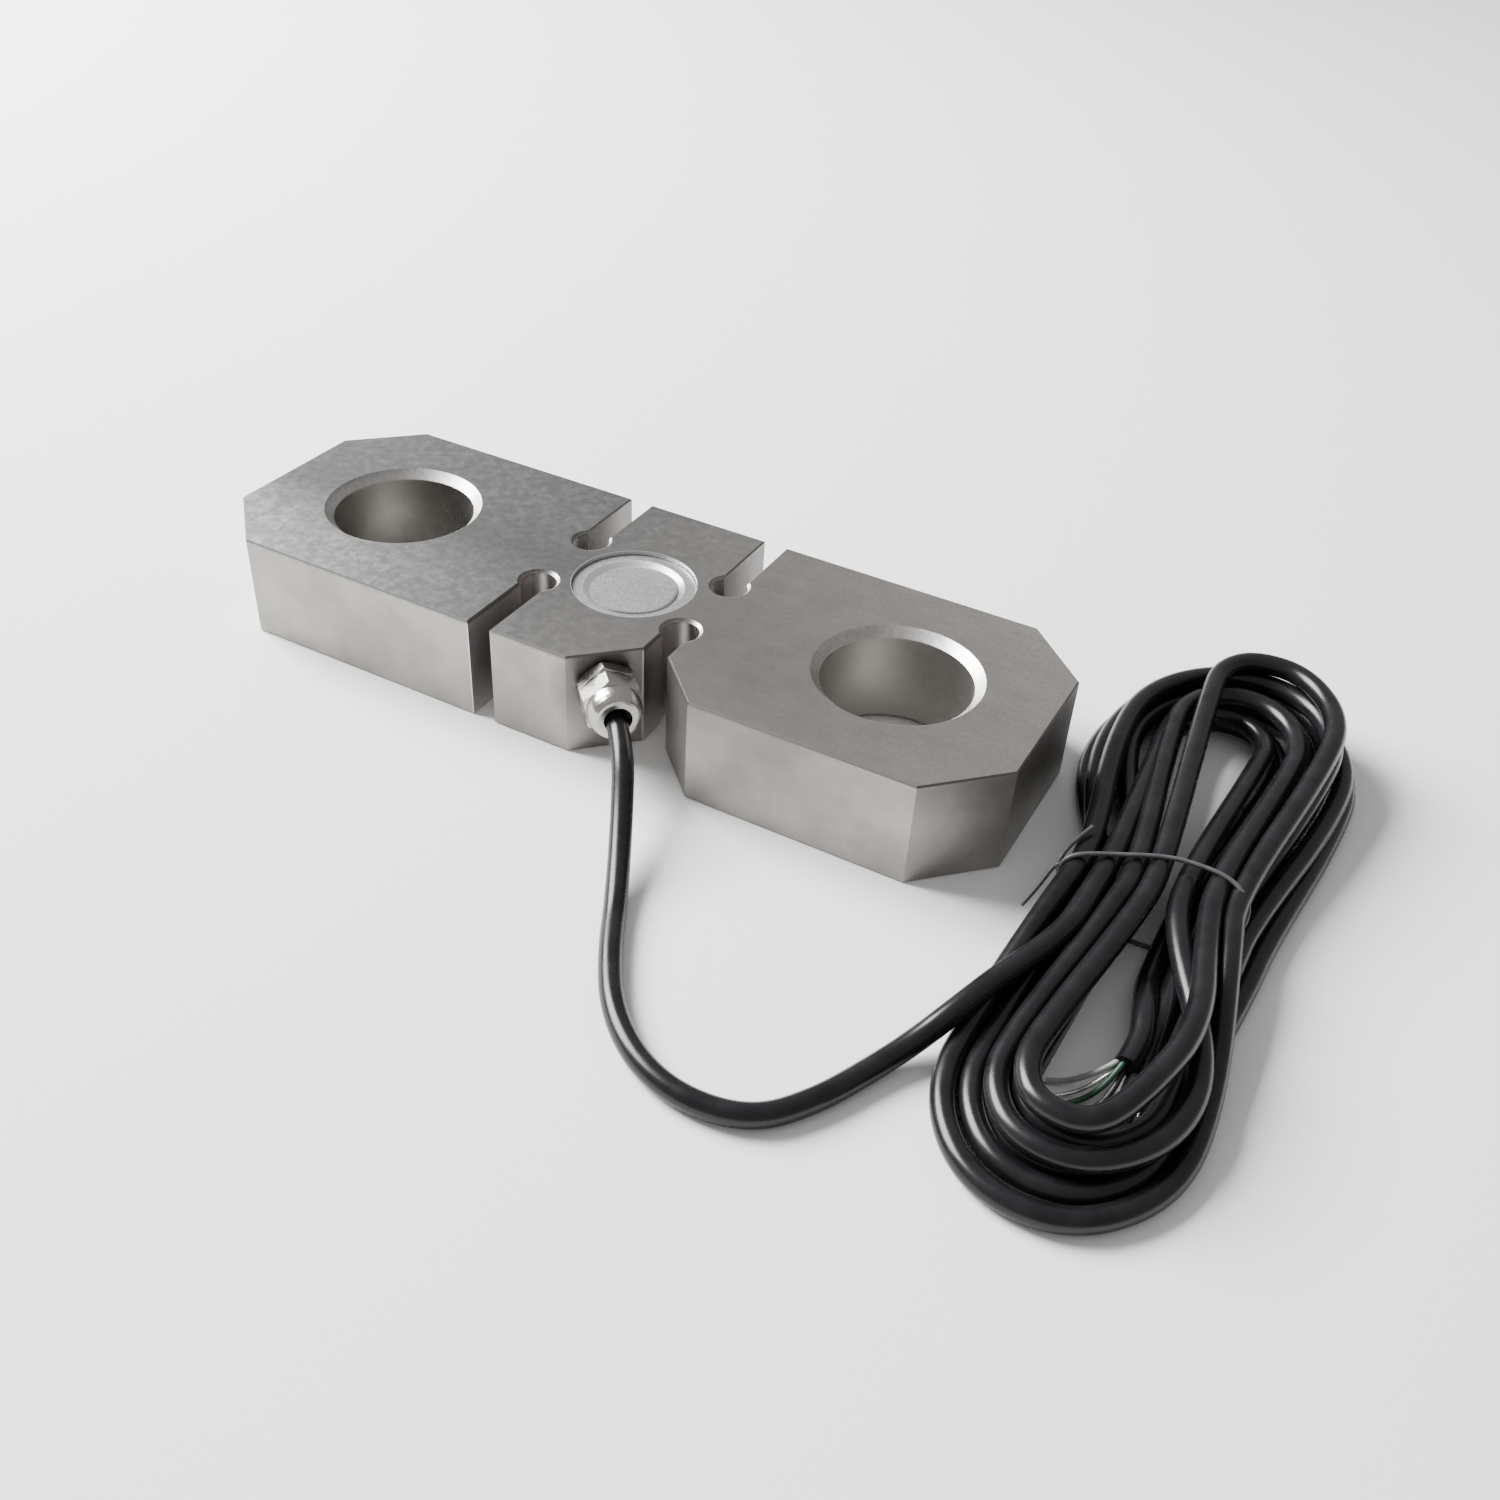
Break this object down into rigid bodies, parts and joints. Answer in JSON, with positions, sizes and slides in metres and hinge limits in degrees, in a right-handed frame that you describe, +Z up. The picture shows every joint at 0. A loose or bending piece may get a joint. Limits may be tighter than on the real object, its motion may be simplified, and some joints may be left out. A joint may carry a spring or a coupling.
{
  "type": "wire rope tension sensor",
  "caption": "Slotted steel plate load link with a shackle eye at each end, a sealed gauge pocket, a cable gland and a tied signal cable; measures the pull in a rope.",
  "frame": {"origin": "centre of the plate's lower face", "axes": "+X along the pull between the two eyes, +Z up through the plate, -Y towards the gland's side"},
  "size_m": [0.3105, 0.2064, 0.03],
  "materials": {
    "plate_steel": "satin ground, nickel plated",
    "cover_sheet": "matt pressed sheet",
    "gauge_film": "polyimide film with foil grid",
    "board_laminate": "glass-filled laminate",
    "enamelled_wire": "enamelled copper",
    "red_insulation": "smooth insulation",
    "black_insulation": "smooth insulation",
    "green_insulation": "smooth insulation",
    "white_insulation": "smooth insulation",
    "gland_rubber": "moulded rubber",
    "gland_nickel": "bright nickel plate on brass",
    "gland_nylon": "moulded nylon",
    "cable_jacket": "satin black jacket",
    "tie_coating": "plastic-coated wire",
    "tinned_copper": "tinned strands"
  },
  "bodies": {
    "root": {"sensor_body": "plate_steel", "top_cover": "cover_sheet", "bottom_cover": "cover_sheet", "gauge_top_axial": "gauge_film", "gauge_top_cross": "gauge_film", "gauge_bottom_axial": "gauge_film", "gauge_bottom_cross": "gauge_film", "bridge_board": "board_laminate", "gauge_wires_top": "enamelled_wire", "gauge_wires_bottom": "enamelled_wire", "inner_lead_red": "red_insulation", "inner_lead_black": "black_insulation", "inner_lead_green": "green_insulation", "inner_lead_white": "white_insulation", "gland_gasket": "gland_rubber", "gland_body": "gland_nickel", "gland_claw": "gland_nylon", "gland_seal": "gland_rubber", "gland_nut": "gland_nickel", "cable_run": "cable_jacket", "cable_hank": "cable_jacket", "hank_tie": "tie_coating", "core_red": "red_insulation", "core_black": "black_insulation", "core_green": "green_insulation", "core_white": "white_insulation", "drain_wire": "tinned_copper"}
  },
  "joints": []
}
